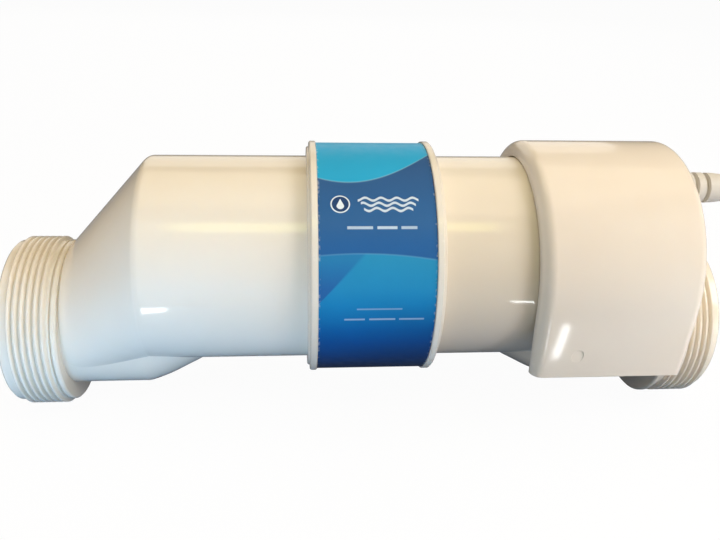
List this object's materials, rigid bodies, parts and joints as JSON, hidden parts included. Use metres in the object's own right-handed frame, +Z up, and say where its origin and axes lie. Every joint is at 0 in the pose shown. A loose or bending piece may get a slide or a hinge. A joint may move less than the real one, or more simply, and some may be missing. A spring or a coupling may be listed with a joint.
{
  "type": "salt chlorine generator cell",
  "caption": "Inline salt chlorine generator cell: white tube with two offset threaded ports, a labelled centre sleeve, a terminal hood with a cord, and an electrode plate stack inside.",
  "frame": {"origin": "on the axis of the large tube, half way between the two port faces, which is the centre of the seat on the middle sleeve", "axes": "+X from the inlet port to the outlet port along the tube, +Z up away from the ports, +Y across"},
  "size_m": [0.4663, 0.2261, 0.1548],
  "materials": {
    "vessel_pvc": "moulded warm white PVC, gloss",
    "coupling_pvc": "moulded white PVC, gloss",
    "cover_plastic": "moulded warm white ABS, gloss",
    "label_print": null,
    "coated_titanium": "titanium with dark mixed-oxide coating, matte",
    "titanium": "bare titanium, satin",
    "stainless": "stainless steel, bright",
    "tinned_copper": "tin plated",
    "comb_plastic": "moulded polypropylene, natural",
    "seal_rubber": "black EPDM",
    "boot_rubber": "soft white PVC",
    "cord_jacket": "off-white cable jacket",
    "red_wire": "red wire insulation",
    "black_wire": "black wire insulation",
    "sensor_wire": "yellow wire insulation",
    "bracket_plastic": "moulded nylon",
    "plug_plastic": "black nylon",
    "contact_metal": "plated brass"
  },
  "bodies": {
    "cell": {"anode_bus_bar": "titanium", "anode_plate": "coated_titanium", "anode_terminal_stud": "titanium", "bipolar_plates": "coated_titanium", "bracket_screws": "stainless", "cathode_bus_bar": "titanium", "cathode_plates": "coated_titanium", "cathode_terminal_stud": "titanium", "centre_coupling": "coupling_pvc", "cord_boot": "boot_rubber", "cord_bracket": "bracket_plastic", "inlet_plate_comb": "comb_plastic", "inlet_vessel_half": "vessel_pvc", "label_band": "label_print", "lead_nuts": "stainless", "negative_lead": "black_wire", "outlet_plate_comb": "comb_plastic", "outlet_vessel_half": "vessel_pvc", "plug_body": "plug_plastic", "plug_boot": "plug_plastic", "plug_contacts": "contact_metal", "positive_lead": "red_wire", "power_cord": "cord_jacket", "ring_terminals": "tinned_copper", "sensor_leads": "sensor_wire", "sensor_o_ring": "seal_rubber", "stud_lock_nuts": "stainless", "stud_o_rings": "seal_rubber", "stud_washers": "stainless", "temperature_sensor": "titanium", "tie_rod_nuts": "comb_plastic", "tie_rods": "comb_plastic"},
    "cover": {"terminal_cover": "cover_plastic"}
  },
  "joints": [
    {"name": "cover_lift", "type": "slide", "parent": "cell", "child": "cover", "axis": [0, 0, 1], "range_m": [0, 0.13]}
  ]
}
